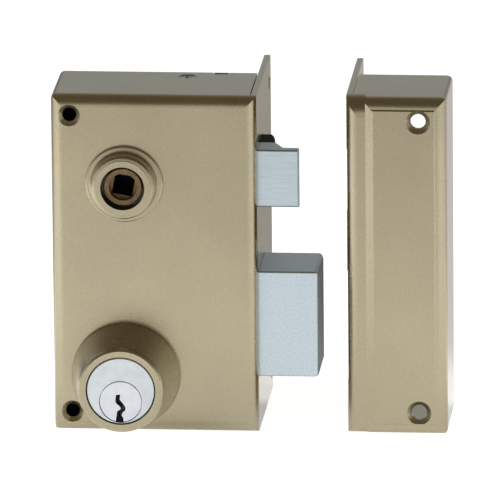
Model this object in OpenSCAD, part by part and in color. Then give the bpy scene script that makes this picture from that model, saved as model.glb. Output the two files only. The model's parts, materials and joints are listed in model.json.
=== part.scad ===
// Rim box lock with its separate keep: sheet case with a lapping forend, sprung latch, throwing dead bolt,
// pin cylinder and spindle follower. Millimetres. The cylinder axis is x = 0, z = 0, the door face is y = 0,
// the front of the lock looks to -y and the bolts throw to +x.

/* [Case] */
// From the forend face to the axis of the spindle and the cylinder
backset = 45; // [44:0.5:50]
// From that axis to the free side of the case
free_side = 25; // [25:0.5:32]
// From the bottom of the case up to the cylinder axis
cyl_up = 20.5; // [20:0.5:26]
// From the cylinder axis up to the spindle axis
spindle_up = 67; // [65:0.5:76]
// From the spindle axis up to the top of the case
head_room = 30.5; // [30:0.5:38]
// Depth of the case from the door face to its front
case_d = 34; // [34:0.5:40]
// Thickness of the folded sheet
sheet = 2; // [1.6:0.1:2.2]
// Radius of the rounded front edges
edge_r = 4; // [2.6:0.2:5]
// How far the forend laps behind the door face
forend_lap = 27; // [20:0.5:34]
// Width of the fold seams
seam = 0.35; // [0.25:0.05:0.5]
// Radius of the rear corners of the forend and of the strike flange
flange_r = 1.5; // [0.8:0.1:3]
// Radius of the corners on the free side of the case and of the keep
corner_r = 2; // [1:0.1:2.4]

/* [Fixing holes] */
// Screw holes at the free side, from that side
fix_in = 6.4; // [6:0.1:7]
// Screw holes from the top and from the bottom of the case
fix_end = 7; // [6.5:0.1:7.5]
// Diameter of the screw holes
fix_d = 4.8; // [4:0.1:5.2]
// Diameter of their countersinks
fix_sink_d = 7.6; // [6.6:0.1:9]
// Edge screw holes from the rear of the forend
edge_fix_in = 5.5; // [5:0.25:8]
// Edge screw holes from the top and from the bottom
edge_fix_end = 7.8; // [7:0.1:12]
// Diameter of the edge screw holes
edge_fix_d = 4.5; // [3.5:0.1:5]
// Screws that hold the back plate, from the axis toward the forend
tie_x = 19.3; // [16:0.1:20]
// Those screws from the door face
tie_y = 6.3; // [5:0.1:6.8]

/* [Follower] */
// Square of the handle spindle
spindle_sq = 7; // [6:0.1:7.6]
// How far the square leans at rest, in degrees
square_lean = 10.5; // [0:0.5:12]
// Radius of the hub inside the case
hub_r = 8; // [7.6:0.1:8.2]
// Radius of the hub where it shows in the collar
hub_front_r = 6.3; // [6:0.1:6.6]
// From the spindle axis to the tip of the arm
arm_len = 18.5; // [18:0.1:19]
// Height of the collar on the case front
collar_h = 7.5; // [6:0.25:10]
// Radius of the collar at its foot
collar_r = 13.3; // [12.6:0.1:15]

/* [Latch] */
// How far the latch stands out of the forend
latch_out = 14; // [13.5:0.25:16]
// Height of the latch
latch_h = 20; // [18:0.25:20.5]
// Depth of the latch from front to rear
latch_d = 22; // [20:0.25:23]
// Thickness of the full length nose
nose_t = 3.5; // [3:0.1:4.5]
// Wire diameter of the latch spring
latch_wire = 0.8; // [0.6:0.1:1]
// Turns of the latch spring
latch_turns = 9; // [7:1:11]

/* [Dead bolt] */
// Throw of the dead bolt, also one turn of the key
bolt_out = 20.4; // [19:0.1:20.4]
// Height of the dead bolt
bolt_h = 37; // [30:0.5:38]
// From the cylinder axis down to the foot of the dead bolt
bolt_low = 1.5; // [1:0.1:2]
// From the door face to the rear of the dead bolt
bolt_behind = 4; // [3.5:0.1:7]
// From the case front to the front of both bolts
bolt_in = 4.5; // [4:0.1:5]
// Chamfer along the edges of both bolts
bolt_edge = 0.5; // [0.3:0.1:0.8]
// Teeth of the drive pinion
pinion_teeth = 10; // [9:1:11]

/* [Cylinder] */
// Diameter of the cylinder
cyl_dia = 23; // [22:0.1:23.2]
// How far the cylinder stands in front of the case
cyl_out = 22; // [16:0.5:28]
// Diameter of the plug
plug_dia = 14.6; // [14:0.1:14.8]
// Wall of the cylinder under the plug, which sets how far the plug sits below the cylinder axis
plug_wall = 0.4; // [0.35:0.05:0.7]
// Radius of the escutcheon at its foot
escutcheon_r = 18.6; // [18:0.1:20]
// Radius of the escutcheon at its front
escutcheon_front_r = 14.1; // [13.4:0.1:16]
// Spacing of the pins
pin_gap = 4; // [3.6:0.1:4.2]
// Chamfer around the faces of the cylinder and the plug
face_edge = 0.25; // [0.2:0.05:0.3]

/* [Keep] */
// Gap between the forend and the keep
keep_gap = 30.2; // [28:0.2:40]
// Width of the keep
keep_w = 34.2; // [33:0.2:40]
// How far the strike flange laps behind the door face
keep_lap = 24; // [18:0.5:30]
// Screw holes of the keep, from its bolt side
keep_fix_in = 24.6; // [20:0.2:26]
// Screw holes of the keep, from its top and from its bottom
keep_fix_end = 8; // [7:0.2:12]
// Diameter of the keep screw holes
keep_fix_d = 5.2; // [4:0.1:5.6]
// Diameter of the keep countersinks
keep_sink_d = 8.3; // [7:0.1:9]
// Depth of the step around the front panel of the keep
panel_step = 0.5; // [0.4:0.1:0.9]
// Depth of the strip beside the panel, from the panel
strip_step = 1.1; // [1:0.1:1.4]

/* [Hidden] */
$fn = 48;

run = 0.3;
fit = 0.05;
front_y = -case_d;
left_x = -free_side;
right_x = backset;
bottom_z = -cyl_up;
top_z = spindle_up + head_room;
in_front_y = front_y + sheet;
plate_y = -sheet;

fix_x = left_x + fix_in;
fix_zs = [bottom_z + fix_end, top_z - fix_end];
edge_fix_y = forend_lap - edge_fix_in;
edge_fix_zs = [bottom_z + edge_fix_end, top_z - edge_fix_end];
tie_r = 1.45;
tie_head_r = 2.75;
tie_len = 9;
tie_rim = 0.45;
tie_sink = 1.85;
collar_bore = hub_front_r + 1.2;
collar_spigot = hub_front_r + 2.65;
lug_half = 4;
lug_t = 4;
notch_x = backset - 14.5;
notch_w = 5.4;
notch_gap = 1.5;
notch_d = 2.2;

bolt_front = front_y + bolt_in;
latch_back = bolt_front + latch_d;
bolt_back = -bolt_behind;

latch_z0 = spindle_up - 8.9;
latch_z1 = latch_z0 + latch_h;
latch_rear_x = right_x - 7;
latch_tip_x = right_x + latch_out;
latch_split = bolt_front + 10.3;
step_x = right_x + 0.6 * latch_out;
shoe_x = right_x + 0.375 * latch_out;
shoulder_x = right_x - sheet - run;
rail_back = bolt_front + 4;
rail_z0 = spindle_up + hub_r + 0.8;
rail_z1 = spindle_up + arm_len;
arm_half = 3;
arm_y0 = -17;
arm_y1 = -11;
hook_x1 = -arm_half - 0.8;
hook_x0 = hook_x1 - 4;
hook_z0 = spindle_up + 10.5;

spring_y = bolt_front + 7.2;
spring_z = spindle_up - 5.5;
spring_r = 2.4;
bracket_x0 = hub_r + 1;
bracket_x1 = bracket_x0 + 3;
rod_r = 1.5;
rod_x1 = latch_rear_x - 3;
post_x = 14;
post_r = 2;
post_z = rail_z1 + 0.2 + post_r;

bolt_z0 = -bolt_low;
bolt_z1 = bolt_z0 + bolt_h;
bolt_rear_x = right_x - 11.5;
bolt_tip_x = right_x + bolt_out;
tip_r = 1.3;
tail_y0 = -14;
tail_y1 = -8;
tail_x0 = -2.3;
tail_x1 = right_x + 7;
tail_z1 = 20;
guide_x = 4;
guide_z = 13;
guide_r = 2.5;
rivet_x = right_x - 7;
rivet_zs = [6, 15];
rivet_r = 2;

plug_drop = (cyl_dia - plug_dia) / 2 - plug_wall;
pitch_r = bolt_out / (2 * PI);
tooth_p = bolt_out / pinion_teeth;
tooth_angle = 25;
tooth_add = 0.5;
tooth_ded = 0.75;
tooth_play = 0.12;
rack_z = pitch_r - plug_drop;
tail_z0 = rack_z + tooth_ded;
pinion_y0 = -15;
pinion_y1 = -7;

cyl_r = cyl_dia / 2;
line_w = 0.2;
line_deep = 1.2;
face_y = front_y - cyl_out;
cyl_rear = front_y + 13;
plug_r = plug_dia / 2;
neck_r = 5;
neck_y1 = -17;
stub_r = 1.8;
pin_r = 1.4;
pin_ys = [for (i = [0 : 4]) face_y + 6 + i * pin_gap];
pin_z0 = -plug_drop + 2.4;
shear_z = plug_r - plug_drop;
cover_z = cyl_r - 1.1;
fork_y1 = in_front_y + 1.5;
fork_flat = cyl_r - 2;
fork_screws = [[-6.5, 14], [6.5, 14]];
ring_y = cyl_rear + 0.4;

keep_x = right_x + keep_gap;
keep_x1 = keep_x + keep_w;
keep_front_t = sheet + strip_step;
mouth_gap = 0.9;
panel_x0 = keep_x + 9.4;
panel_x1 = keep_x1 - 4.2;
panel_end = 4.3;
slope_w = 2.7;
strip_end_r = edge_r + 2.6;

friction_x = -14;
friction_z = tail_z1 + 5;
friction_half = 3;
leaf_t = 0.6;
leaf_x = 6;
fork_z0 = bottom_z + edge_r + run;
fork_z1 = cyl_r + 6.3;
shoe_pin_r = 1.5;
shoe_pin_zs = [spring_z + 5.5, latch_z1 - 4];
shoe_pin_x = latch_rear_x + 7;
plate_spigots = [[guide_x, guide_z], [post_x, post_z], [(bracket_x0 + bracket_x1) / 2, spring_z],
    [friction_x, friction_z]];
spigot_r = 1.3;

module block(lo, hi) {
    translate(lo) cube(hi - lo);
}

module rod_x(x0, x1, y, z, r) {
    translate([x0, y, z]) rotate([0, 90, 0]) cylinder(r = r, h = x1 - x0);
}

module rod_y(y0, y1, x, z, r) {
    translate([x, y0, z]) rotate([-90, 0, 0]) cylinder(r = r, h = y1 - y0);
}

module cone_y(y0, y1, x, z, r0, r1) {
    translate([x, y0, z]) rotate([-90, 0, 0]) cylinder(r1 = r0, r2 = r1, h = y1 - y0);
}

module along_x(x0, x1) {
    translate([x0, 0, 0]) rotate([90, 0, 90]) linear_extrude(x1 - x0) children();
}

module along_y(y0, y1) {
    translate([0, y1, 0]) rotate([90, 0, 0]) linear_extrude(y1 - y0) children();
}

module along_z(z0, z1) {
    translate([0, 0, z0]) linear_extrude(z1 - z0) children();
}

// Turned about a line along y, with the outline's height measured out of the case front
module turned(x, z, y) {
    translate([x, y, z]) rotate([90, 0, 0]) rotate_extrude() children();
}

// Outline with two round corners on its low side in v
module front_round(u0, u1, v0, v1, r) {
    translate([u0 + r, v0]) square([u1 - u0 - 2 * r, v1 - v0]);
    translate([u0, v0 + r]) square([u1 - u0, v1 - v0 - r]);
    translate([u0 + r, v0 + r]) circle(r);
    translate([u1 - r, v0 + r]) circle(r);
}

// Same outline with u and v changed over
module front_round_side(u0, u1, v0, v1, r) {
    translate([v0, u0 + r]) square([v1 - v0, u1 - u0 - 2 * r]);
    translate([v0 + r, u0]) square([v1 - v0 - r, u1 - u0]);
    translate([v0 + r, u0 + r]) circle(r);
    translate([v0 + r, u1 - r]) circle(r);
}

// Box whose four front edges are rounded and meet in mitres
module pan(x0, x1, y0, y1, z0, z1, r) {
    intersection() {
        along_z(z0, z1) front_round(x0, x1, y0, y1, r);
        along_x(x0, x1) front_round_side(z0, z1, y0, y1, r);
    }
}

// The same box with its two corners on the free side rounded, at the low x side or at the high one
module free_pan(x0, x1, y0, z0, z1, side) {
    r = corner_r;
    intersection() {
        pan(x0, x1, y0, 0, z0, z1, edge_r);
        along_y(y0, 0) {
            translate([side < 0 ? x0 + r : x0, z0]) square([x1 - x0 - r, z1 - z0]);
            translate([x0, z0 + r]) square([x1 - x0, z1 - z0 - 2 * r]);
            for (z = [z0 + r, z1 - r]) {
                translate([side < 0 ? x0 + r : x1 - r, z]) circle(r);
            }
        }
    }
}

// Flat strip behind the case, with round rear corners
module flange(x0, x1, y1) {
    along_x(x0, x1) {
        translate([-1, bottom_z]) square([y1 - flange_r + 1, top_z - bottom_z]);
        translate([-1, bottom_z + flange_r]) square([y1 + 1, top_z - bottom_z - 2 * flange_r]);
        translate([y1 - flange_r, bottom_z + flange_r]) circle(flange_r);
        translate([y1 - flange_r, top_z - flange_r]) circle(flange_r);
    }
}

// Cross outline of a bolt with its long edges chamfered
module bolt_section(y0, y1, z0, z1) {
    c = bolt_edge;
    polygon([[y0 + c, z0], [y1 - c, z0], [y1, z0 + c], [y1, z1 - c], [y1 - c, z1], [y0 + c, z1],
        [y0, z1 - c], [y0, z0 + c]]);
}

// Screw hole with its countersink open to the front
module sunk_hole_y(x, z, y, d, sink_d, depth) {
    rod_y(y - 1, y + depth, x, z, d / 2);
    cone_y(y - 0.01, y + (sink_d - d) / 2, x, z, sink_d / 2, d / 2);
}

// Screw hole with its countersink open to one side along x
module sunk_hole_x(x, y, z, d, sink_d, side) {
    rod_x(x - 5, x + 5, y, z, d / 2);
    translate([x, y, z]) rotate([0, -90 * side, 0])
        translate([0, 0, -0.01]) cylinder(r1 = sink_d / 2, r2 = d / 2, h = (sink_d - d) / 2);
}

// Round wire coil along z from 0 to len
module coil(mean_r, wire_r, len, turns, rings, sides) {
    n = turns * rings;
    rise = len - 2 * wire_r;
    points = [for (i = [0 : n], k = [0 : sides - 1])
        let (a = 360 * i / rings, b = 360 * k / sides, r = mean_r + wire_r * cos(b))
        [r * cos(a), r * sin(a), wire_r + rise * i / n + wire_r * sin(b)]];
    skin = [for (i = [0 : n - 1], k = [0 : sides - 1])
        let (p = i * sides + k, q = i * sides + (k + 1) % sides)
        [p, p + sides, q + sides, q]];
    first = [for (k = [0 : sides - 1]) k];
    last = [for (k = [sides - 1 : -1 : 0]) n * sides + k];
    polyhedron(points = points, faces = concat(skin, [first, last]), convexity = 8);
}

function involute(a) = tan(a) * 180 / PI - a;
base_r = pitch_r * cos(tooth_angle);
function half_tooth(r) = 90 / pinion_teeth - tooth_play / 2 / pitch_r * 180 / PI + involute(tooth_angle)
    - (r > base_r ? involute(acos(base_r / r)) : 0);
flank_rs = concat([pitch_r - tooth_ded],
    [for (i = [0 : 4]) base_r + (pitch_r + tooth_add - base_r) * i / 4]);
function polar(r, a) = [r * cos(a), r * sin(a)];

module pinion_outline() {
    polygon([for (k = [0 : pinion_teeth - 1], s = [-1, 1], i = [0 : len(flank_rs) - 1])
        let (r = flank_rs[s < 0 ? i : len(flank_rs) - 1 - i])
        polar(r, 90 + 360 * k / pinion_teeth + s * half_tooth(r))]);
}

module rack_outline() {
    slope = tan(tooth_angle);
    half = tooth_p / 4 - tooth_play / 2;
    for (k = [-1 : pinion_teeth]) {
        translate([(k + 0.5) * tooth_p, rack_z])
            polygon([[-half - tooth_ded * slope, tooth_ded + 0.1], [-half + tooth_add * slope, -tooth_add],
                [half - tooth_add * slope, -tooth_add], [half + tooth_ded * slope, tooth_ded + 0.1]]);
    }
}

// Hole and countersink through the sheet for a tie screw, head up
module tie_hole() {
    translate([0, 0, -sheet - 1]) cylinder(r = tie_r + 0.2, h = sheet + 2);
    translate([0, 0, -tie_sink]) cylinder(r1 = tie_r + 0.2, r2 = tie_head_r + 0.6, h = tie_sink + 0.01);
}

module case_shell() {
    color("#ADA284") difference() {
        union() {
            free_pan(left_x, right_x, front_y, bottom_z, top_z, -1);
            flange(right_x - sheet, right_x, forend_lap);
        }
        pan(left_x + sheet, right_x - sheet, in_front_y, 1, bottom_z + sheet, top_z - sheet,
            max(edge_r - sheet, 0.4));
        for (z = [bottom_z - 1, top_z - sheet - 1]) {
            block([right_x - sheet - seam, front_y + edge_r, z], [right_x - sheet, 1, z + sheet + 2]);
        }
        rod_y(front_y - 1, in_front_y + 1, 0, 0, cyl_r + 0.2);
        rod_y(front_y - 1, in_front_y + 1, 0, spindle_up, collar_spigot + 0.05);
        for (z = fix_zs) {
            sunk_hole_y(fix_x, z, front_y, fix_d, fix_sink_d, sheet + 1);
        }
        for (p = fork_screws) {
            rod_y(front_y - 1, in_front_y + 1, p[0], p[1], tie_r + 0.2);
        }
        for (z = edge_fix_zs) {
            sunk_hole_x(right_x, edge_fix_y, z, edge_fix_d, edge_fix_d + 3, 1);
        }
        block([right_x - sheet - 1, bolt_front - run, latch_z0 - run],
            [right_x + 1, latch_back + run, latch_z1 + run]);
        block([right_x - sheet - 1, bolt_front - run, bolt_z0 - run],
            [right_x + 1, bolt_back + run, bolt_z1 + run]);
        translate([tie_x, -tie_y, top_z]) tie_hole();
        translate([tie_x, -tie_y, bottom_z]) mirror([0, 0, 1]) tie_hole();
        block([notch_x - notch_w / 2, -notch_d, top_z - sheet - 1], [notch_x + notch_w / 2, 1, top_z + 1]);
    }
}

module back_plate() {
    gap = 0.1;
    color("#9AA0A4") difference() {
        union() {
            block([left_x + sheet + gap, plate_y, bottom_z + sheet + gap],
                [right_x - sheet - gap, 0, top_z - sheet - gap]);
            block([notch_x - notch_w / 2 + 0.2, -notch_d + notch_gap, top_z - sheet - 1],
                [notch_x + notch_w / 2 - 0.2, 0, top_z - 0.02]);
            block([tie_x - lug_half, -tie_y - lug_half, top_z - sheet - lug_t],
                [tie_x + lug_half, plate_y + 0.5, top_z - sheet]);
            block([tie_x - lug_half, -tie_y - lug_half, bottom_z + sheet],
                [tie_x + lug_half, plate_y + 0.5, bottom_z + sheet + lug_t]);
        }
        rod_y(plate_y - 1, 1, 0, 0, cyl_r + 0.7);
        rod_y(plate_y - 1, 1, 0, spindle_up, hub_r);
        for (z = fix_zs) {
            rod_y(plate_y - 1, 1, fix_x, z, fix_d / 2);
        }
        for (p = plate_spigots) {
            rod_y(plate_y - 1, 1, p[0], p[1], spigot_r + fit);
        }
        translate([tie_x, -tie_y, bottom_z]) cylinder(r = tie_r + fit, h = top_z - bottom_z);
    }
}

// The sides of the collar sweep in from the foot to a shoulder and a flat front
// Flat foot lip with a rounded rim, a cove up to the wall, a rounded shoulder and a stepped front ring
module follower_collar() {
    wall_r = collar_r - 2.2;
    color("#A79B7C") turned(0, spindle_up, front_y) polygon([
        [hub_front_r + 0.1, -sheet], [collar_spigot, -sheet], [collar_spigot, 0], [collar_r, 0],
        [collar_r, 0.7], [collar_r - 0.12, 1.1], [collar_r - 0.42, 1.38], [collar_r - 0.8, 1.5],
        [wall_r + 0.75, 1.5], [wall_r + 0.4, 1.65], [wall_r + 0.15, 2.1], [wall_r, 3],
        [wall_r - 0.1, collar_h - 1.8], [wall_r - 0.3, collar_h - 1.1], [wall_r - 0.75, collar_h - 0.6],
        [wall_r - 1.45, collar_h - 0.4], [wall_r - 1.45, collar_h - 0.1], [wall_r - 1.55, collar_h],
        [collar_bore, collar_h], [collar_bore, 0.6], [hub_front_r + 0.1, 0.6]]);
}

module cylinder_escutcheon() {
    bore = cyl_r + 0.35;
    color("#A79B7C") difference() {
        turned(0, 0, front_y) polygon([[bore, 0], [escutcheon_r, 0], [escutcheon_r, 1.4],
            [escutcheon_r - 0.4, 2.6], [escutcheon_front_r + 0.7, cyl_out - 1.4],
            [escutcheon_front_r + 0.35, cyl_out - 0.5], [escutcheon_front_r - 0.3, cyl_out],
            [bore, cyl_out]]);
        for (p = fork_screws) {
            rod_y(front_y - 7, front_y + 1, p[0], p[1], tie_r + fit);
        }
    }
}

// Forked plate that straddles the grooves of the cylinder behind the case front
module cylinder_fork() {
    half_w = cyl_r + 0.6;
    color("#9AA0A4") difference() {
        block([-half_w, in_front_y, fork_z0], [half_w, fork_y1, fork_z1]);
        block([-fork_flat - fit, in_front_y - 1, bottom_z], [fork_flat + fit, fork_y1 + 1, cyl_r + fit]);
        for (p = fork_screws) {
            rod_y(in_front_y - 1, fork_y1 + 1, p[0], p[1], tie_r + 0.2);
        }
    }
}

module escutcheon_screws() {
    color("#B7BDC2") for (p = fork_screws) {
        difference() {
            union() {
                rod_y(front_y - 6, fork_y1, p[0], p[1], tie_r);
                rod_y(fork_y1, fork_y1 + 1.8, p[0], p[1], 2.6);
            }
            block([p[0] - 1.7, fork_y1 + 0.9, p[1] - 0.35], [p[0] + 1.7, fork_y1 + 2, p[1] + 0.35]);
        }
    }
}

// Countersunk screw along z with a raised head, head up, and a cross recess
module tie_screw() {
    difference() {
        rotate_extrude() polygon([
            [0, -tie_len], [tie_r, -tie_len], [tie_r, -tie_rim - 1.3], [tie_head_r, -tie_rim],
            [tie_head_r - 0.5, -0.2], [tie_head_r / 2, -0.05], [0, 0]]);
        for (a = [0, 90]) {
            rotate(a) translate([-1.5, -0.4, -0.9]) cube([3, 0.8, 1]);
        }
    }
}

module case_screws() {
    color("#AEB9C6") {
        translate([tie_x, -tie_y, top_z - 0.05]) tie_screw();
        translate([tie_x, -tie_y, bottom_z + 0.05]) mirror([0, 0, 1]) tie_screw();
    }
}

module screw_sleeves() {
    color("#9AA0A4") for (z = fix_zs) {
        difference() {
            rod_y(in_front_y + run, plate_y, fix_x, z, fix_d / 2 + 1);
            rod_y(in_front_y - 1, plate_y + 1, fix_x, z, fix_d / 2);
        }
    }
}

module latch_guide_post() {
    color("#9AA0A4") {
        rod_y(bolt_front, plate_y, post_x, post_z, post_r);
        rod_y(plate_y - 0.1, -0.2, post_x, post_z, spigot_r);
    }
}

module latch_spring_bracket() {
    mid_x = (bracket_x0 + bracket_x1) / 2;
    color("#9AA0A4") difference() {
        union() {
            block([bracket_x0, spring_y - 3, spring_z - 3], [bracket_x1, plate_y, spring_z + 3]);
            rod_y(plate_y - 0.1, -0.2, mid_x, spring_z, spigot_r);
        }
        rod_x(bracket_x0 - 1, bracket_x1 + 1, spring_y, spring_z, rod_r + 0.02);
    }
}

module latch_spring_rod() {
    color("#B7BDC2") rod_x(bracket_x0, rod_x1, spring_y, spring_z, rod_r);
}

module latch_spring() {
    color("#A9AFB5") translate([bracket_x1 + 0.02, spring_y, spring_z]) rotate([0, 90, 0])
        coil(spring_r, latch_wire / 2, latch_rear_x - bracket_x1 - run, latch_turns, 14, 6);
}

module bolt_guide_post() {
    color("#9AA0A4") {
        rod_y(tail_y0 - 0.3 - 1.5, tail_y0 - 0.3, guide_x, guide_z, guide_r + 1.5);
        rod_y(tail_y0 - 0.4, tail_y1 + 0.4, guide_x, guide_z, guide_r);
        rod_y(tail_y1 + 0.3, plate_y, guide_x, guide_z, guide_r + 1.5);
        rod_y(plate_y - 0.1, -0.2, guide_x, guide_z, spigot_r);
    }
}

module friction_spring_post() {
    slit = leaf_t / 2 + 0.02;
    color("#9AA0A4") difference() {
        union() {
            block([friction_x - friction_half, tail_y0, friction_z - friction_half],
                [friction_x + friction_half, plate_y, friction_z + friction_half]);
            rod_y(plate_y - 0.1, -0.2, friction_x, friction_z, spigot_r);
        }
        block([friction_x - friction_half - 1, tail_y0 - 1, friction_z - slit],
            [friction_x + friction_half + 1, tail_y1 + 0.5, friction_z + slit]);
    }
}

// Leaf that bears on the dead bolt's tail and holds the bolt where it is put
module friction_spring() {
    low = tail_z1 + run;
    x0 = friction_x - friction_half + 0.5;
    x1 = friction_x + friction_half + 0.5;
    half = leaf_t / 2;
    color("#A9AFB5") along_y(tail_y0 + 0.5, tail_y1 - 0.5) polygon([[x0, friction_z - half],
        [x1, friction_z - half], [leaf_x - 4, low + 0.1], [leaf_x, low], [leaf_x + 3.5, low + 1],
        [leaf_x + 3.2, low + 1 + leaf_t], [leaf_x - 0.1, low + leaf_t], [leaf_x - 3.8, low + 0.1 + leaf_t],
        [x1 + 0.2, friction_z + half], [x0, friction_z + half]]);
}

module cylinder_body() {
    color("#C5CAD2") difference() {
        union() {
            cone_y(face_y, face_y + face_edge, 0, 0, cyl_r - face_edge, cyl_r);
            rod_y(face_y + face_edge, cyl_rear, 0, 0, cyl_r);
        }
        rod_y(face_y - 1, cyl_rear + 1, 0, -plug_drop, plug_r + fit);
        for (y = pin_ys) {
            translate([0, y, 0]) cylinder(r = pin_r + 0.1, h = cyl_r + 1);
        }
        block([-1.7, pin_ys[0] - 2.5, cover_z], [1.7, pin_ys[4] + 2.5, cyl_r + 1]);
        for (s = [-1, 1]) {
            block([s > 0 ? fork_flat : -cyl_r - 1, in_front_y - fit, -cyl_r - 1],
                [s > 0 ? cyl_r + 1 : -fork_flat, fork_y1 + fit, cyl_r + 1]);
        }
    }
}

module driver_pins() {
    color("#C9A35A") for (y = pin_ys) {
        translate([0, y, shear_z + 0.12]) cylinder(r = pin_r, h = 2.6);
    }
}

module pin_springs() {
    z0 = shear_z + 2.75;
    color("#A9AFB5") for (y = pin_ys) {
        translate([0, y, z0]) coil(1, 0.2, cover_z - z0 - 0.02, 3, 9, 5);
    }
}

module pin_cover() {
    color("#C9A35A") block([-1.65, pin_ys[0] - 2.45, cover_z], [1.65, pin_ys[4] + 2.45, cyl_r - 0.2]);
}

// Plan of the latch: a full length nose, a step behind it and a bevel down to the shoe
module latch_bolt() {
    color("#B9C4CA") difference() {
        union() {
            intersection() {
                along_z(latch_z0, latch_z1) polygon([[latch_rear_x, bolt_front],
                    [latch_tip_x - bolt_edge, bolt_front], [latch_tip_x, bolt_front + bolt_edge],
                    [latch_tip_x, bolt_front + nose_t - 0.8], [latch_tip_x - 0.8, bolt_front + nose_t],
                    [step_x, bolt_front + nose_t], [shoe_x, latch_split], [latch_rear_x, latch_split]]);
                along_x(latch_rear_x, latch_tip_x) bolt_section(bolt_front, latch_back, latch_z0, latch_z1);
            }
            block([latch_rear_x, bolt_front, latch_z0 - 2], [shoulder_x, latch_split, latch_z1 + 2]);
            block([hook_x0, bolt_front, rail_z0], [latch_rear_x + 1, rail_back, rail_z1]);
            block([hook_x0, bolt_front, hook_z0], [hook_x1, arm_y1, rail_z1]);
        }
        rod_x(latch_rear_x - 1, latch_rear_x + 11.5, spring_y, spring_z, rod_r + run);
        for (z = shoe_pin_zs) {
            rod_y(latch_split - 4, latch_split + 1, shoe_pin_x, z, shoe_pin_r);
        }
    }
}

module latch_shoe() {
    color("#1E1B18") difference() {
        intersection() {
            along_z(latch_z0, latch_z1) polygon([[latch_rear_x, latch_split], [shoe_x, latch_split],
                [shoe_x - 0.25, latch_split + 3], [shoe_x - 0.7, latch_split + 6],
                [shoe_x - 1.4, latch_back - 2.4], [shoe_x - 2.1, latch_back - 0.8],
                [shoe_x - 2.9, latch_back], [latch_rear_x, latch_back]]);
            along_x(latch_rear_x, shoe_x) bolt_section(bolt_front, latch_back, latch_z0, latch_z1);
        }
        for (z = shoe_pin_zs) {
            rod_y(latch_split - 1, latch_split + 7, shoe_pin_x, z, shoe_pin_r);
        }
    }
}

module latch_shoe_pins() {
    color("#B7BDC2") for (z = shoe_pin_zs) {
        rod_y(latch_split - 4, latch_split + 7, shoe_pin_x, z, shoe_pin_r - 0.02);
    }
}

module follower() {
    hub_y0 = front_y - collar_h + 2.3;
    color("#8A7353") difference() {
        union() {
            rod_y(hub_y0, in_front_y + 1, 0, spindle_up, hub_front_r);
            rod_y(in_front_y + 0.4, plate_y - 0.3, 0, spindle_up, hub_r);
            rod_y(plate_y - 0.4, -0.2, 0, spindle_up, hub_r - 0.1);
            block([-arm_half, arm_y0, spindle_up], [arm_half, arm_y1, spindle_up + arm_len]);
            rod_y(arm_y0, arm_y1, 0, spindle_up + arm_len, arm_half);
        }
        translate([0, hub_y0 - 1, spindle_up]) rotate([0, square_lean, 0])
            translate([-spindle_sq / 2, 0, -spindle_sq / 2])
            cube([spindle_sq, case_d + collar_h + 2, spindle_sq]);
        rod_y(hub_y0 - 1, hub_y0 + 3, 0, spindle_up, 4.75);
    }
}

module dead_bolt() {
    color("#B9C4CA") difference() {
        union() {
            intersection() {
                along_z(bolt_z0, bolt_z1) polygon([[bolt_rear_x, bolt_front],
                    [bolt_tip_x - bolt_edge, bolt_front], [bolt_tip_x, bolt_front + bolt_edge],
                    [bolt_tip_x, bolt_back - 3], [bolt_tip_x - 0.9, bolt_back - 0.9],
                    [bolt_tip_x - 3, bolt_back], [bolt_rear_x, bolt_back]]);
                along_x(bolt_rear_x, bolt_tip_x) bolt_section(bolt_front, bolt_back, bolt_z0, bolt_z1);
                along_y(bolt_front, bolt_back) polygon([[bolt_rear_x, bolt_z0], [bolt_tip_x - tip_r, bolt_z0],
                    [bolt_tip_x - 0.3 * tip_r, bolt_z0 + 0.3 * tip_r], [bolt_tip_x, bolt_z0 + tip_r],
                    [bolt_tip_x, bolt_z1 - tip_r], [bolt_tip_x - 0.3 * tip_r, bolt_z1 - 0.3 * tip_r],
                    [bolt_tip_x - tip_r, bolt_z1], [bolt_rear_x, bolt_z1]]);
            }
            block([bolt_rear_x, bolt_front, bolt_z0 - 1.5], [shoulder_x, bolt_back, bolt_z1 + 1.5]);
        }
        block([bolt_rear_x - 1, tail_y0 - fit, tail_z0 - fit], [tail_x1 + fit, tail_y1 + fit, tail_z1 + fit]);
        for (z = rivet_zs) {
            rod_y(bolt_front - 1, bolt_back + 1, rivet_x, z, rivet_r + 0.02);
        }
    }
}

module dead_bolt_tail() {
    color("#8F979C") difference() {
        along_y(tail_y0, tail_y1) {
            translate([tail_x0, tail_z0]) square([tail_x1 - tail_x0, tail_z1 - tail_z0]);
            intersection() {
                rack_outline();
                translate([tail_x0, rack_z - 2]) square([bolt_out + 2 - tail_x0, 4]);
            }
        }
        along_y(tail_y0 - 1, tail_y1 + 1) {
            translate([guide_x, guide_z - guide_r - run]) square([bolt_out, 2 * (guide_r + run)]);
            translate([guide_x, guide_z]) circle(guide_r + run);
            translate([guide_x + bolt_out, guide_z]) circle(guide_r + run);
        }
        for (z = rivet_zs) {
            rod_y(tail_y0 - 1, tail_y1 + 1, rivet_x, z, rivet_r + 0.02);
        }
    }
}

module dead_bolt_rivets() {
    color("#B7BDC2") for (z = rivet_zs) {
        rod_y(bolt_front, bolt_back, rivet_x, z, rivet_r);
    }
}

// Broken profile of the keyway, open at the foot of the plug
module keyway() {
    polygon([[-1.5, 2.5], [-0.1, 2.6], [-0.3, 0.8], [0.8, -0.5], [1.6, -1.7], [1.6, -2.9], [0.7, -3.6],
        [0.3, -4.6], [0.9, -5.7], [1.1, -9], [-1.8, -9], [-1.6, -5.8], [-1.2, -3.4], [0.1, -2.4],
        [-0.3, -1.6], [-1.6, -0.4], [-1.8, 0.6]]);
}

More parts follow.
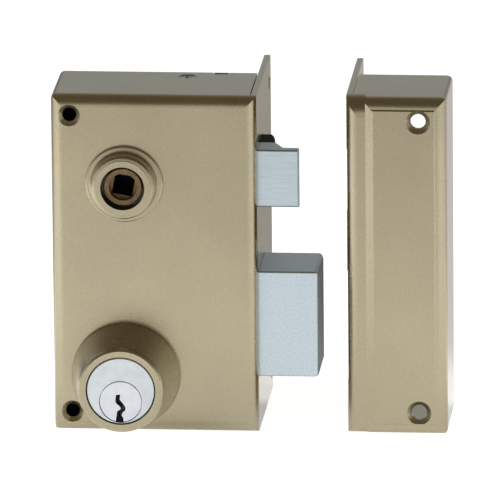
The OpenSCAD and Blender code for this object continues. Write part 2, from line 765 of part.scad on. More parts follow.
module plug() {
    nose_r = plug_r - line_w;
    color("#DEDEE3") difference() {
        union() {
            cone_y(face_y, face_y + face_edge / 2, 0, -plug_drop, nose_r - face_edge / 2, nose_r);
            rod_y(face_y + face_edge / 2, face_y + line_deep, 0, -plug_drop, nose_r);
            rod_y(face_y + line_deep, cyl_rear, 0, -plug_drop, plug_r);
            rod_y(cyl_rear - 0.1, neck_y1, 0, -plug_drop, neck_r);
            rod_y(neck_y1 - 0.1, pinion_y1 - 3.6, 0, -plug_drop, stub_r);
        }
        translate([0, 0, -plug_drop]) along_y(face_y - 1, pin_ys[4] + 4) keyway();
        for (y = pin_ys) {
            translate([0, y, pin_z0 - 0.4]) cylinder(r = pin_r + 0.1, h = 12);
        }
        block([stub_r - 0.5, neck_y1, -plug_drop - 3], [stub_r + 1, pinion_y1, -plug_drop + 3]);
    }
}

module key_pins() {
    color("#C9A35A") for (y = pin_ys) {
        translate([0, y, pin_z0]) cylinder(r = pin_r, h = shear_z - 0.2 - pin_z0);
    }
}

module plug_ring() {
    color("#9AA0A4") difference() {
        rod_y(ring_y, ring_y + 1, 0, -plug_drop, neck_r + 3.4);
        rod_y(ring_y - 1, ring_y + 2, 0, -plug_drop, neck_r + 0.02);
        block([-2.5, ring_y - 1, -plug_drop - 12], [2.5, ring_y + 2, -plug_drop]);
    }
}

// The flat in the bore sits on the flat of the plug's stub; the rear slot takes the outside cylinder's tail
module pinion() {
    color("#8F979C") difference() {
        translate([0, 0, -plug_drop]) along_y(pinion_y0, pinion_y1) pinion_outline();
        difference() {
            rod_y(pinion_y0 - 1, pinion_y1 - 3.5, 0, -plug_drop, stub_r + 0.02);
            block([stub_r - 0.48, pinion_y0 - 2, -plug_drop - 3], [stub_r + 2, pinion_y1, -plug_drop + 3]);
        }
        block([-0.75, pinion_y1 - 3, -plug_drop - 2], [0.75, pinion_y1 + 1, -plug_drop + 2]);
    }
}

// Open backed box whose bolt side runs on as a flange. A strip beside the bolts lies lowest and rounds off
// further at its head; a bevel climbs from it to the frame, on which the front panel stands proud
module keep_box() {
    strip_y = front_y + strip_step;
    frame_y = front_y + panel_step;
    color("#ADA284") difference() {
        union() {
            intersection() {
                free_pan(keep_x, keep_x1, strip_y, bottom_z, top_z, 1);
                along_x(keep_x, keep_x1) {
                    translate([strip_y, bottom_z]) square([-strip_y, top_z - bottom_z - strip_end_r]);
                    translate([strip_y + strip_end_r, bottom_z])
                        square([-strip_y - strip_end_r, top_z - bottom_z]);
                    translate([strip_y + strip_end_r, top_z - strip_end_r]) circle(strip_end_r);
                }
            }
            intersection() {
                free_pan(keep_x, keep_x1, frame_y, bottom_z, top_z, 1);
                along_z(bottom_z, top_z) polygon([[panel_x0 - slope_w, strip_y], [panel_x0, front_y],
                    [keep_x1, front_y], [keep_x1, 0], [panel_x0 - slope_w, 0]]);
            }
            intersection() {
                along_z(bottom_z + 1, top_z - 1) polygon([[panel_x0 - slope_w, strip_y], [panel_x0, front_y],
                    [panel_x1, front_y], [panel_x1 + 0.5, frame_y], [panel_x1, frame_y + 1],
                    [panel_x0, frame_y + 1]]);
                along_x(keep_x, keep_x1) polygon([[front_y, bottom_z + panel_end],
                    [frame_y, bottom_z + panel_end - 0.5], [frame_y + 1, bottom_z + panel_end],
                    [frame_y + 1, top_z - panel_end], [frame_y, top_z - panel_end + 0.5],
                    [front_y, top_z - panel_end]]);
            }
            flange(keep_x, keep_x + sheet, keep_lap);
        }
        pan(keep_x + sheet, keep_x1 - sheet, front_y + keep_front_t, 1, bottom_z + sheet, top_z - sheet,
            max(edge_r - sheet, 0.4));
        for (z = [bottom_z - 1, top_z - sheet - 1]) {
            block([keep_x + sheet, strip_y + strip_end_r, z],
                [keep_x + sheet + seam, 1, z + sheet + 2]);
        }
        for (z = [bottom_z + keep_fix_end, top_z - keep_fix_end]) {
            sunk_hole_y(keep_x + keep_fix_in, z, front_y, keep_fix_d, keep_sink_d, keep_front_t + 1);
        }
        for (z = edge_fix_zs) {
            sunk_hole_x(keep_x, keep_lap - edge_fix_in, z, edge_fix_d, edge_fix_d + 3, -1);
        }
        block([keep_x - 1, bolt_front - mouth_gap, latch_z0 - mouth_gap],
            [keep_x + sheet + 1, latch_back + mouth_gap, latch_z1 + mouth_gap]);
        block([keep_x - 1, bolt_front - mouth_gap, bolt_z0 - mouth_gap],
            [keep_x + sheet + 1, bolt_back + mouth_gap, bolt_z1 + mouth_gap]);
    }
}

echo(latch_spring_gap = (latch_rear_x - bracket_x1 - run - latch_wire) / latch_turns - latch_wire);
echo(pin_spring_gap = (cover_z - shear_z - 2.77 - 0.4) / 3 - 0.4);

case_shell();
back_plate();
follower_collar();
cylinder_escutcheon();
cylinder_fork();
escutcheon_screws();
case_screws();
screw_sleeves();
latch_guide_post();
latch_spring_bracket();
latch_spring_rod();
latch_spring();
bolt_guide_post();
friction_spring_post();
friction_spring();
cylinder_body();
driver_pins();
pin_springs();
pin_cover();
latch_bolt();
latch_shoe();
latch_shoe_pins();
follower();
dead_bolt();
dead_bolt_tail();
dead_bolt_rivets();
plug();
key_pins();
plug_ring();
pinion();
keep_box();
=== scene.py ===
"""Rim box lock with its keep, dressed for a product picture on a white table."""

import json
import math

import bpy
from mathutils import Matrix, Vector


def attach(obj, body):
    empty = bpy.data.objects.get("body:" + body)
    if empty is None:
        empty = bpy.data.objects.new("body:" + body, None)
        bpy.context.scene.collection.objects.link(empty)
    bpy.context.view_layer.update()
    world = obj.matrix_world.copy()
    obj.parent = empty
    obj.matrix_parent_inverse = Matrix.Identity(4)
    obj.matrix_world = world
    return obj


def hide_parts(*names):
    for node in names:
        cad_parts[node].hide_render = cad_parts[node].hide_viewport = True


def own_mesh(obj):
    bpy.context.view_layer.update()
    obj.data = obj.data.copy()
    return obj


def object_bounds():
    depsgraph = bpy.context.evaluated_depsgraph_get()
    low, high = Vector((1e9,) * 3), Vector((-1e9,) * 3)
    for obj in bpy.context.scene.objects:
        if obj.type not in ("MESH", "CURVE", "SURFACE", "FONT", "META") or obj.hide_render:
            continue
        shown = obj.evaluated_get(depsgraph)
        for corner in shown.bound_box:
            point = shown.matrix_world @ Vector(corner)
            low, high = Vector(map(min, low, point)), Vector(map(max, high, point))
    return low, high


MM = 0.001
# Height of the spindle axis and of the plug axis, in millimetres
SPINDLE_Z = 67
PLUG_Z = -3.8
# Radius of the collar's bore, inside which the lacquer colour is painted near black as shade, in millimetres
COLLAR_SHADED_BORE = 7.42
# Painted shade on the dead bolt's end face begins at this x and is full at the next, in millimetres
END_SHADE_FROM = 65.1
END_SHADE_FULL = 65.35
# Painted shade darkens the spindle's hole from this y, is full at the next, and stays within this radius, in
# millimetres
HOLE_SHADE_FROM = -36.1
HOLE_SHADE_FULL = -35.6
HOLE_SHADE_RADIUS = 6.5
# The latch spring stands on its bracket at x = 12 mm; the latch has 13.1 mm of travel
SPRING_START = (12.02, -22.3, 61.5)
SPRING_LENGTH = 25.7
SPRING_RADIUS = 2.4
SPRING_WIRE = 0.4
SPRING_TURNS = 9
# The picture is a square of this many pixels, and the lens is given for a frame this many millimetres wide
PICTURE = 500
SENSOR = 36
# Side of each soft box and middle of the table along x, in metres
BOX_SIDE = 0.35
TABLE_X = 0.04
# Light of the room, in front and behind, by the upward part of a ray's direction
FRONT_ROOM = ((0.0, (0.9, 0.9, 0.9, 1)), (0.17, (0.75, 0.75, 0.75, 1)), (0.42, (0.22, 0.195, 0.16, 1)),
              (0.64, (0.14, 0.11, 0.07, 1)))
REAR_ROOM = ((0.0, (0.08, 0.09, 0.09, 1)), (0.27, (0.43, 0.45, 0.45, 1)), (0.62, (0.36, 0.35, 0.33, 1)),
             (0.88, (0.2, 0.16, 0.1, 1)))
# Painted light on the paper close behind the foot of the lock, as metal sees it, by y in metres
PAINTED_FOOT_GLOW = ((0.0, (0, 0, 0, 1)), (0.012, (0.36, 0.37, 0.38, 1)), (0.04, (0.3, 0.31, 0.32, 1)),
              (0.08, (0, 0, 0, 1)))
# How far the paper is lifted: in front as metal sees it, at the right behind as metal sees it, and in the
# picture itself; between front and behind metal sees painted shade
LIFT_FRONT = 0.4
LIFT_RIGHT = 0.36
LIFT_PICTURE = 0.86

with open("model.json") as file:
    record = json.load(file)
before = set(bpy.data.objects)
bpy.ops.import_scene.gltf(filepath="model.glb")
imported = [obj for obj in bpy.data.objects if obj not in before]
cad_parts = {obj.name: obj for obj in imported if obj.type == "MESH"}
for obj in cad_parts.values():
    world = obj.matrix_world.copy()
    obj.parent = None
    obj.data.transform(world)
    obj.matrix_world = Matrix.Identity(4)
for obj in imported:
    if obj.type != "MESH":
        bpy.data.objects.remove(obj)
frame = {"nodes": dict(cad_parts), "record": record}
cad_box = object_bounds()
nodes = frame["nodes"]
scene = bpy.context.scene
scene.view_settings.view_transform = "Standard"


def linear(hex_code):
    """Linear colour with alpha from an sRGB hex value."""
    parts = [int(hex_code[i:i + 2], 16) / 255 for i in (1, 3, 5)]
    return tuple(p / 12.92 if p <= 0.04045 else ((p + 0.055) / 1.055) ** 2.4 for p in parts) + (1.0,)


def per(size_mm):
    """Texture scale for a pattern whose features are this many millimetres apart."""
    return 1 / (size_mm * MM)


def add(tree, kind, inputs=(), **settings):
    """One node with its settings. Inputs maps a socket to a value or to the socket that feeds it."""
    made = tree.nodes.new(kind)
    for name, value in settings.items():
        setattr(made, name, value)
    for key, value in dict(inputs).items():
        if isinstance(value, bpy.types.NodeSocket):
            tree.links.new(value, made.inputs[key])
        else:
            made.inputs[key].default_value = value
    return made


def start(name):
    """Empty material tree with its shader, its output and the place on the piece in metres."""
    material = bpy.data.materials.new(name)
    material.use_nodes = True
    tree = material.node_tree
    tree.nodes.clear()
    shader = add(tree, "ShaderNodeBsdfPrincipled")
    add(tree, "ShaderNodeOutputMaterial", {"Surface": shader.outputs[0]})
    place = add(tree, "ShaderNodeTexCoord").outputs["Object"]
    return material, tree, shader, place


def ramp(tree, factor, *stops):
    """Colour ramp through (position, linear colour) stops."""
    made = add(tree, "ShaderNodeValToRGB", {"Fac": factor})
    elements = made.color_ramp.elements
    while len(elements) < len(stops):
        elements.new(0.5)
    for element, (position, colour) in zip(elements, stops):
        element.position = position
        element.color = colour
    return made.outputs["Color"]


def from_axis(tree, place, z_mm):
    """Distance of a point from the line along y at x = 0 and this height."""
    off = add(tree, "ShaderNodeVectorMath", {0: place, 1: (0, 0, z_mm * MM)}, operation="SUBTRACT")
    flat = add(tree, "ShaderNodeVectorMath", {0: off.outputs["Vector"], 1: (1, 0, 1)}, operation="MULTIPLY")
    return add(tree, "ShaderNodeVectorMath", {0: flat.outputs["Vector"]}, operation="LENGTH").outputs["Value"]


def baked_lacquer(name, shade_bore_mm=0):
    """Champagne lacquer with fine metal flake, sprayed on drawn sheet and baked. A satin, metallic sheen with
    a faint orange peel, under a thin clear film that whitens where it is seen flat. Within a radius about the
    spindle the colour is painted near black as shade in the bore."""
    material, tree, shader, place = start(name)
    # Flake is about 0.05 mm; drawn at 0.5 mm so that it shows as a faint sparkle of tone
    flake = add(tree, "ShaderNodeTexNoise", {"Vector": place, "Scale": per(0.5), "Detail": 2.0})
    # Slow drift of the spray, about a hand's width of the gun
    drift = add(tree, "ShaderNodeTexNoise", {"Vector": place, "Scale": per(38), "Detail": 2.0})
    tone = add(tree, "ShaderNodeMix", {"Factor": 0.3, "A": drift.outputs["Fac"], "B": flake.outputs["Fac"]})
    colour = ramp(tree, tone.outputs["Result"], (0.36, linear("#ABA084")), (0.64, linear("#B5A98A")))
    if shade_bore_mm:
        # Painted shade: inside this radius about the spindle the colour is near black
        outside_bore_shade = add(tree, "ShaderNodeMapRange", {"Value": from_axis(tree, place, SPINDLE_Z),
                                                 "From Min": shade_bore_mm * MM, "From Max": (shade_bore_mm + 0.1) * MM})
        colour = add(tree, "ShaderNodeMix", {0: outside_bore_shade.outputs["Result"], 6: linear("#120E09"), 7: colour},
                     data_type="RGBA").outputs[2]
    tree.links.new(colour, shader.inputs["Base Color"])
    rough = add(tree, "ShaderNodeMapRange", {"Value": flake.outputs["Fac"], "From Min": 0.3, "From Max": 0.7,
                                             "To Min": 0.26, "To Max": 0.31})
    tree.links.new(rough.outputs["Result"], shader.inputs["Roughness"])
    # Orange peel about 1.4 mm across
    peel = add(tree, "ShaderNodeTexNoise", {"Vector": place, "Scale": per(1.4), "Detail": 1.0})
    bump = add(tree, "ShaderNodeBump", {"Height": peel.outputs["Fac"], "Strength": 0.04,
                                        "Distance": 0.1 * MM})
    tree.links.new(bump.outputs["Normal"], shader.inputs["Normal"])
    shader.inputs["Metallic"].default_value = 0.97
    shader.inputs["Coat Weight"].default_value = 0.9
    shader.inputs["Coat Roughness"].default_value = 0.18
    return material


def zinc_plate(name, dark, light):
    """Bright zinc plated on pressed steel: pale blue grey with soft clouds from the bath and a dull shine."""
    material, tree, shader, place = start(name)
    cloud = add(tree, "ShaderNodeTexNoise", {"Vector": place, "Scale": per(4), "Detail": 5.0,
                                             "Roughness": 0.65})
    tree.links.new(ramp(tree, cloud.outputs["Fac"], (0.34, linear(dark)), (0.66, linear(light))),
                   shader.inputs["Base Color"])
    rough = add(tree, "ShaderNodeMapRange", {"Value": cloud.outputs["Fac"], "From Min": 0.3, "From Max": 0.7,
                                             "To Min": 0.3, "To Max": 0.46})
    tree.links.new(rough.outputs["Result"], shader.inputs["Roughness"])
    # Press grain of the sheet, 0.3 mm
    grain = add(tree, "ShaderNodeTexNoise", {"Vector": place, "Scale": per(0.3), "Detail": 1.0})
    bump = add(tree, "ShaderNodeBump", {"Height": grain.outputs["Fac"], "Strength": 0.12,
                                        "Distance": 0.05 * MM})
    tree.links.new(bump.outputs["Normal"], shader.inputs["Normal"])
    shader.inputs["Metallic"].default_value = 1.0
    return material


def drawn_bolt_steel():
    """Cold drawn steel bar, zinc plated: fine draw lines along the latch over a pale blue plate."""
    material, tree, shader, place = start("drawn_zinc_plated_steel")
    # Draw lines 0.05 mm apart; drawn at 0.3 mm and 6 mm long so that they show
    along = add(tree, "ShaderNodeMapping", {"Vector": place, "Scale": (per(6), per(0.3), per(0.3))})
    lines = add(tree, "ShaderNodeTexNoise", {"Vector": along.outputs["Vector"], "Scale": 1.0, "Detail": 4.0})
    tree.links.new(ramp(tree, lines.outputs["Fac"], (0.3, linear("#BECBD3")), (0.7, linear("#CFDBE2"))),
                   shader.inputs["Base Color"])
    rough = add(tree, "ShaderNodeMapRange", {"Value": lines.outputs["Fac"], "From Min": 0.3, "From Max": 0.7,
                                             "To Min": 0.34, "To Max": 0.46})
    tree.links.new(rough.outputs["Result"], shader.inputs["Roughness"])
    bump = add(tree, "ShaderNodeBump", {"Height": lines.outputs["Fac"], "Strength": 0.12,
                                        "Distance": 0.05 * MM})
    tree.links.new(bump.outputs["Normal"], shader.inputs["Normal"])
    shader.inputs["Metallic"].default_value = 1.0
    return material


def tumbled_bolt_steel():
    """Steel block tumbled and zinc plated: an even, fine speckle with no grain, pale blue and dull. Its
    end face is painted darker as shade."""
    material, tree, shader, place = start("tumbled_zinc_plated_steel")
    # Speckle is 0.3 mm; drawn at 0.8 mm so that it shows
    speck = add(tree, "ShaderNodeTexNoise", {"Vector": place, "Scale": per(0.8), "Detail": 3.0,
                                             "Roughness": 0.6})
    plated = ramp(tree, speck.outputs["Fac"], (0.34, linear("#C3D0D8")), (0.66, linear("#D5E1E8")))
    # Painted shade: the end face takes this darker colour
    end_in_painted_shade = ramp(tree, speck.outputs["Fac"], (0.34, linear("#7B7F82")), (0.66, linear("#8B8F92")))
    along = add(tree, "ShaderNodeSeparateXYZ", {"Vector": place}).outputs["X"]
    end = add(tree, "ShaderNodeMapRange", {"Value": along, "From Min": END_SHADE_FROM * MM,
                                           "From Max": END_SHADE_FULL * MM})
    tone = add(tree, "ShaderNodeMix", {0: end.outputs["Result"], 6: plated, 7: end_in_painted_shade}, data_type="RGBA")
    tree.links.new(tone.outputs[2], shader.inputs["Base Color"])
    rough = add(tree, "ShaderNodeMapRange", {"Value": speck.outputs["Fac"], "From Min": 0.3, "From Max": 0.7,
                                             "To Min": 0.36, "To Max": 0.48})
    tree.links.new(rough.outputs["Result"], shader.inputs["Roughness"])
    bump = add(tree, "ShaderNodeBump", {"Height": speck.outputs["Fac"], "Strength": 0.15,
                                        "Distance": 0.05 * MM})
    tree.links.new(bump.outputs["Normal"], shader.inputs["Normal"])
    shader.inputs["Metallic"].default_value = 1.0
    return material


def sleeve_hole_shade():
    """Steel tube coloured near black with a dull shine, as painted shade inside the screw holes."""
    material, tree, shader, place = start("sleeve_black_as_hole_shade")
    mottle = add(tree, "ShaderNodeTexNoise", {"Vector": place, "Scale": per(1.5), "Detail": 3.0})
    tree.links.new(ramp(tree, mottle.outputs["Fac"], (0.35, linear("#0F0D0A")), (0.65, linear("#1A1712"))),
                   shader.inputs["Base Color"])
    rough = add(tree, "ShaderNodeMapRange", {"Value": mottle.outputs["Fac"], "To Min": 0.6, "To Max": 0.8})
    tree.links.new(rough.outputs["Result"], shader.inputs["Roughness"])
    shader.inputs["Metallic"].default_value = 0.7
    shader.inputs["Specular IOR Level"].default_value = 0.2
    return material


def spring_wire():
    """Hard drawn spring steel, oiled: grey, with a sharper shine than the plated parts."""
    material, tree, shader, place = start("drawn_spring_steel")
    mottle = add(tree, "ShaderNodeTexNoise", {"Vector": place, "Scale": per(1.2), "Detail": 3.0})
    tree.links.new(ramp(tree, mottle.outputs["Fac"], (0.35, linear("#8C9298")), (0.65, linear("#A9AFB5"))),
                   shader.inputs["Base Color"])
    rough = add(tree, "ShaderNodeMapRange", {"Value": mottle.outputs["Fac"], "To Min": 0.2, "To Max": 0.34})
    tree.links.new(rough.outputs["Result"], shader.inputs["Roughness"])
    shader.inputs["Metallic"].default_value = 1.0
    return material


def satin_nickel(name, dark, light, centre_z_mm):
    """Nickel plated brass, faced in a lathe: pale and even, with fine rings about its own axis."""
    material, tree, shader, place = start(name)
    about = add(tree, "ShaderNodeMapping", {"Vector": place, "Location": (0, 0, -centre_z_mm * MM)})
    # Tool marks 0.08 mm apart; drawn at 0.5 mm so that they show. A ring texture repeats every 0.314 / scale
    rings = add(tree, "ShaderNodeTexWave", {"Vector": about.outputs["Vector"], "Scale": 0.314 * per(0.5),
                                            "Distortion": 0.2, "Detail": 1.0, "Detail Scale": 2.0},
                wave_type="RINGS", rings_direction="Y")
    cloud = add(tree, "ShaderNodeTexNoise", {"Vector": place, "Scale": per(3), "Detail": 3.0})
    tone = add(tree, "ShaderNodeMix", {"Factor": 0.06, "A": cloud.outputs["Fac"], "B": rings.outputs["Fac"]})
    tree.links.new(ramp(tree, tone.outputs["Result"], (0.3, linear(dark)), (0.7, linear(light))),
                   shader.inputs["Base Color"])
    rough = add(tree, "ShaderNodeMapRange", {"Value": rings.outputs["Fac"], "To Min": 0.28, "To Max": 0.33})
    tree.links.new(rough.outputs["Result"], shader.inputs["Roughness"])
    bump = add(tree, "ShaderNodeBump", {"Height": rings.outputs["Fac"], "Strength": 0.02,
                                        "Distance": 0.05 * MM})
    tree.links.new(bump.outputs["Normal"], shader.inputs["Normal"])
    shader.inputs["Metallic"].default_value = 1.0
    return material


def turned_brass():
    """Free cutting brass as it leaves the lathe: warm yellow with a slight tarnish."""
    material, tree, shader, place = start("turned_brass")
    tarnish = add(tree, "ShaderNodeTexNoise", {"Vector": place, "Scale": per(1.5), "Detail": 4.0})
    tree.links.new(ramp(tree, tarnish.outputs["Fac"], (0.35, linear("#B08B45")), (0.65, linear("#D0AC63"))),
                   shader.inputs["Base Color"])
    rough = add(tree, "ShaderNodeMapRange", {"Value": tarnish.outputs["Fac"], "To Min": 0.22, "To Max": 0.36})
    tree.links.new(rough.outputs["Result"], shader.inputs["Roughness"])
    shader.inputs["Metallic"].default_value = 1.0
    return material


def sintered_bronze():
    """Oil filled bronze pressed from powder: brown and dull with fine pores. Its square hole and the neck of
    the hub are painted near black as shade."""
    material, tree, shader, place = start("sintered_bronze")
    # Pores are 0.1 mm; drawn at 0.4 mm so that they show
    pores = add(tree, "ShaderNodeTexVoronoi", {"Vector": place, "Scale": per(0.4)})
    mottle = add(tree, "ShaderNodeTexNoise", {"Vector": place, "Scale": per(2.5), "Detail": 4.0})
    tone = add(tree, "ShaderNodeMix", {"Factor": 0.4, "A": mottle.outputs["Fac"],
                                       "B": pores.outputs["Distance"]})
    bare = ramp(tree, tone.outputs["Result"], (0.3, linear("#67543B")), (0.7, linear("#8E7757")))
    # Painted shade: the square hole and the neck of the hub are coloured near black and made rough
    inward = add(tree, "ShaderNodeSeparateXYZ", {"Vector": place}).outputs["Y"]
    deep = add(tree, "ShaderNodeMapRange", {"Value": inward, "From Min": HOLE_SHADE_FROM * MM,
                                            "From Max": HOLE_SHADE_FULL * MM})
    near = add(tree, "ShaderNodeMath", {0: from_axis(tree, place, SPINDLE_Z), 1: HOLE_SHADE_RADIUS * MM},
               operation="LESS_THAN")
    painted_hole_shade = add(tree, "ShaderNodeMath", {0: deep.outputs["Result"], 1: near.outputs[0]}, operation="MULTIPLY")
    look = add(tree, "ShaderNodeMix", {0: painted_hole_shade.outputs[0], 6: bare, 7: linear("#0E0B08")}, data_type="RGBA")
    tree.links.new(look.outputs[2], shader.inputs["Base Color"])
    rough = add(tree, "ShaderNodeMapRange", {"Value": mottle.outputs["Fac"], "To Min": 0.4, "To Max": 0.55})
    rough_in_hole_shade = add(tree, "ShaderNodeMix", {"Factor": painted_hole_shade.outputs[0], "A": rough.outputs["Result"], "B": 0.9})
    tree.links.new(rough_in_hole_shade.outputs["Result"], shader.inputs["Roughness"])
    bump = add(tree, "ShaderNodeBump", {"Height": pores.outputs["Distance"], "Strength": 0.15,
                                        "Distance": 0.05 * MM})
    tree.links.new(bump.outputs["Normal"], shader.inputs["Normal"])
    shader.inputs["Metallic"].default_value = 0.9
    return material


def moulded_nylon():
    """Black glass filled nylon, moulded: near black with a fine matt grain and a weak waxy shine."""
    material, tree, shader, place = start("moulded_black_nylon")
    grain = add(tree, "ShaderNodeTexNoise", {"Vector": place, "Scale": per(0.6), "Detail": 3.0})
    tree.links.new(ramp(tree, grain.outputs["Fac"], (0.35, linear("#141210")), (0.65, linear("#221E1A"))),
                   shader.inputs["Base Color"])
    rough = add(tree, "ShaderNodeMapRange", {"Value": grain.outputs["Fac"], "To Min": 0.6, "To Max": 0.75})
    tree.links.new(rough.outputs["Result"], shader.inputs["Roughness"])
    bump = add(tree, "ShaderNodeBump", {"Height": grain.outputs["Fac"], "Strength": 0.15,
                                        "Distance": 0.05 * MM})
    tree.links.new(bump.outputs["Normal"], shader.inputs["Normal"])
    shader.inputs["IOR"].default_value = 1.53
    shader.inputs["Specular IOR Level"].default_value = 0.25
    return material


def table_paper():
    """Matt white paper on the table. It carries the picture's white and the lock's own soft shadow, and, as
    metal sees it, painted shade behind the lock and painted light behind its foot.
    """
    material, tree, shader, place = start("matt_white_paper")
    tooth = add(tree, "ShaderNodeTexNoise", {"Vector": place, "Scale": per(2), "Detail": 2.0})
    tree.links.new(ramp(tree, tooth.outputs["Fac"], (0.3, linear("#EFEFEE")), (0.7, linear("#F5F5F4"))),
                   shader.inputs["Base Color"])
    seen = add(tree, "ShaderNodeLightPath")
    mirrored = add(tree, "ShaderNodeMath", {0: seen.outputs["Is Glossy Ray"],
                                            1: seen.outputs["Is Transmission Ray"]}, operation="MAXIMUM")
    # The lights stand in front; as metal sees it, the paper's glow is painted into shade behind the lock, but
    # not to its right
    part = add(tree, "ShaderNodeSeparateXYZ", {"Vector": place}).outputs
    rear = add(tree, "ShaderNodeMapRange", {"Value": part["X"], "From Min": 0.1, "From Max": 0.13,
                                            "To Min": 0.0, "To Max": LIFT_RIGHT})
    painted_rear_shade = add(tree, "ShaderNodeMapRange", {"Value": part["Y"], "From Min": 0.02, "From Max": 0.16,
                                             "To Min": LIFT_FRONT, "To Max": rear.outputs["Result"]},
                interpolation_type="SMOOTHSTEP")
    # Painted light: as metal sees it, the strip of paper close behind the lock's foot glows brighter
    painted_foot_glow = ramp(tree, part["Y"], *PAINTED_FOOT_GLOW)
    both = add(tree, "ShaderNodeMath", {0: painted_rear_shade.outputs["Result"], 1: painted_foot_glow}, operation="ADD")
    in_metal = add(tree, "ShaderNodeMath", {0: mirrored.outputs[0], 1: both.outputs[0]}, operation="MULTIPLY")
    in_view = add(tree, "ShaderNodeMath", {0: seen.outputs["Is Camera Ray"], 1: LIFT_PICTURE},
                  operation="MULTIPLY")
    lift = add(tree, "ShaderNodeMath", {0: in_metal.outputs[0], 1: in_view.outputs[0]}, operation="MAXIMUM")
    tree.links.new(lift.outputs[0], shader.inputs["Emission Strength"])
    shader.inputs["Emission Color"].default_value = (1, 1, 1, 1)
    shader.inputs["Roughness"].default_value = 0.95
    shader.inputs["Specular IOR Level"].default_value = 0.1
    return material


def studio_sky():
    """Soft room around the table: pale low down in front and at the sides, grey behind, dark and warm
    overhead."""
    world = bpy.data.worlds.new("studio_room")
    scene.world = world
    world.use_nodes = True
    tree = world.node_tree
    tree.nodes.clear()
    way = add(tree, "ShaderNodeTexCoord").outputs["Generated"]
    part = add(tree, "ShaderNodeSeparateXYZ", {"Vector": way}).outputs
    front = ramp(tree, part["Z"], *FRONT_ROOM)
    rear = ramp(tree, part["Z"], *REAR_ROOM)
    behind = add(tree, "ShaderNodeMapRange", {"Value": part["Y"], "From Min": 0.0, "From Max": 0.6},
                 interpolation_type="SMOOTHSTEP")
    tone = add(tree, "ShaderNodeMix", {0: behind.outputs["Result"], 6: front, 7: rear}, data_type="RGBA")
    back = add(tree, "ShaderNodeBackground", {"Color": tone.outputs[2], "Strength": 1.0})
    add(tree, "ShaderNodeOutputWorld", {"Surface": back.outputs[0]})


def lamp(name, place, aim, power):
    """Square soft box at place, aimed at a point, in metres and watts. Metal sees the paper it lights, not
    the box."""
    light = bpy.data.lights.new(name, "AREA")
    light.shape = "SQUARE"
    light.size = BOX_SIDE
    light.energy = power
    light.color = (0.9, 0.95, 1.0)
    made = bpy.data.objects.new(name, light)
    made.location = place
    made.rotation_euler = (Vector(aim) - Vector(place)).to_track_quat("-Z", "Y").to_euler()
    made.visible_camera = False
    made.visible_glossy = False
    scene.collection.objects.link(made)


def table():
    """Round table top under the lock, wide enough to fill every view."""
    low = cad_box[0][2]
    radii = (0.3, 1.0, 3.0, 10.0, 40.0)
    spokes = 48
    points = [(TABLE_X, 0.0, low)]
    for radius in radii:
        points += [(TABLE_X + radius * math.cos(2 * math.pi * k / spokes),
                    radius * math.sin(2 * math.pi * k / spokes), low) for k in range(spokes)]
    faces = [(0, 1 + k, 1 + (k + 1) % spokes) for k in range(spokes)]
    for ring in range(len(radii) - 1):
        a = 1 + ring * spokes
        faces += [(a + k, a + spokes + k, a + spokes + (k + 1) % spokes, a + (k + 1) % spokes)
                  for k in range(spokes)]
    mesh = bpy.data.meshes.new("table_top")
    mesh.from_pydata(points, [], faces)
    mesh.materials.append(table_paper())
    top = bpy.data.objects.new("table_top", mesh)
    scene.collection.objects.link(top)


def coil_spring(name, first, mean_r, wire_r, length, turns):
    """Round wire wound along +x from its first point, in millimetres."""
    rings, sides = 20, 10
    count = turns * rings
    points = []
    for i in range(count + 1):
        turn = 2 * math.pi * i / rings
        x = first[0] + wire_r + (length - 2 * wire_r) * i / count
        for k in range(sides):
            lean = 2 * math.pi * k / sides
            radius = mean_r + wire_r * math.cos(lean)
            points.append(Vector((x + wire_r * math.sin(lean), first[1] + radius * math.sin(turn),
                                  first[2] - radius * math.cos(turn))) * MM)
    faces = [(i * sides + k, i * sides + (k + 1) % sides,
              (i + 1) * sides + (k + 1) % sides, (i + 1) * sides + k)
             for i in range(count) for k in range(sides)]
    faces += [tuple(reversed(range(sides))), tuple(range(count * sides, (count + 1) * sides))]
    mesh = bpy.data.meshes.new(name)
    mesh.from_pydata(points, [], faces)
    mesh.polygons.foreach_set("use_smooth", [len(f) == 4 for f in faces])
    made = bpy.data.objects.new(name, mesh)
    scene.collection.objects.link(made)
    return made


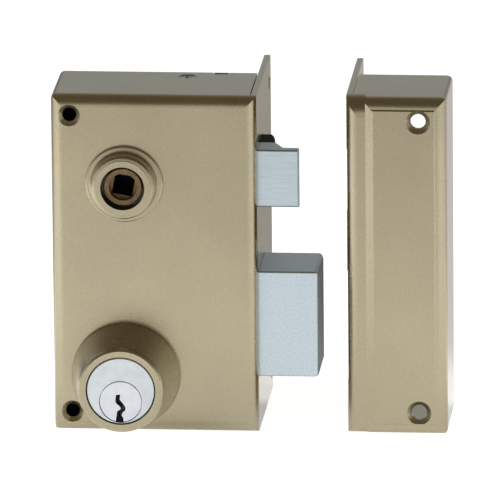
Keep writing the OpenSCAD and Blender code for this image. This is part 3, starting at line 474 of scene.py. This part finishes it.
def camera():
    """Long lens a little above and to the right of the lock, where the picture was taken."""
    place = Vector((378.333, -3950.498, 1097.46)) * MM
    yaw, pitch, roll = (math.radians(a) for a in (4.9, 15.0, -0.510))
    reach_px = 12000
    ahead = Vector((-math.sin(yaw) * math.cos(pitch), math.cos(yaw) * math.cos(pitch), -math.sin(pitch)))
    right = Vector((math.cos(yaw), math.sin(yaw), 0))
    up = right.cross(ahead)
    across = right * math.cos(roll) + up * math.sin(roll)
    upward = up * math.cos(roll) - right * math.sin(roll)
    lens = bpy.data.cameras.new("long_lens")
    lens.sensor_fit = "HORIZONTAL"
    lens.sensor_width = SENSOR
    lens.lens = reach_px / PICTURE * SENSOR
    lens.clip_start = 0.05
    lens.clip_end = 200
    made = bpy.data.objects.new("long_lens", lens)
    turn = Matrix((across, upward, -ahead)).transposed().to_4x4()
    made.matrix_world = Matrix.Translation(place) @ turn
    scene.collection.objects.link(made)
    scene.camera = made


FINISHES = {
    "lacquer": baked_lacquer("baked_champagne_lacquer"),
    "zinc_steel": zinc_plate("bright_zinc_plate", "#8E969B", "#AEB4B8"),
    "screw_steel": zinc_plate("blue_zinc_plate", "#C2CDDB", "#DEE5EE"),
    "spring_steel": spring_wire(),
    "nickel": satin_nickel("satin_nickel_body", "#C9CFD2", "#D5DADD", 0.0),
    "pin_brass": turned_brass(),
    "bolt_steel": drawn_bolt_steel(),
    "nylon": moulded_nylon(),
    "follower_bronze": sintered_bronze(),
}
OWN_FINISH = {
    "plug": satin_nickel("satin_nickel_plug", "#D3D5DA", "#DEE0E5", PLUG_Z),
    "follower_collar": baked_lacquer("lacquer_with_painted_bore_shade", COLLAR_SHADED_BORE),
    "dead_bolt": tumbled_bolt_steel(),
    "screw_sleeves": sleeve_hole_shade(),
}

for part in frame["record"]["subparts"]:
    shown = nodes[part["node"]]
    shown.data.materials.clear()
    shown.data.materials.append(OWN_FINISH.get(part["node"], FINISHES[part["material_slot"]]))

spring = coil_spring("latch_spring_coil", SPRING_START, SPRING_RADIUS, SPRING_WIRE, SPRING_LENGTH, SPRING_TURNS)
spring.data.materials.append(FINISHES["spring_steel"])
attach(spring, "case")
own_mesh(spring)
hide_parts("latch_spring")

camera()
studio_sky()
table()
lamp("left_soft_box", (-0.28, -0.18, 0.22), (-0.27, -0.16, -0.02), 1.2)
lamp("right_soft_box", (0.38, -0.18, 0.22), (0.37, -0.16, -0.02), 0.95)
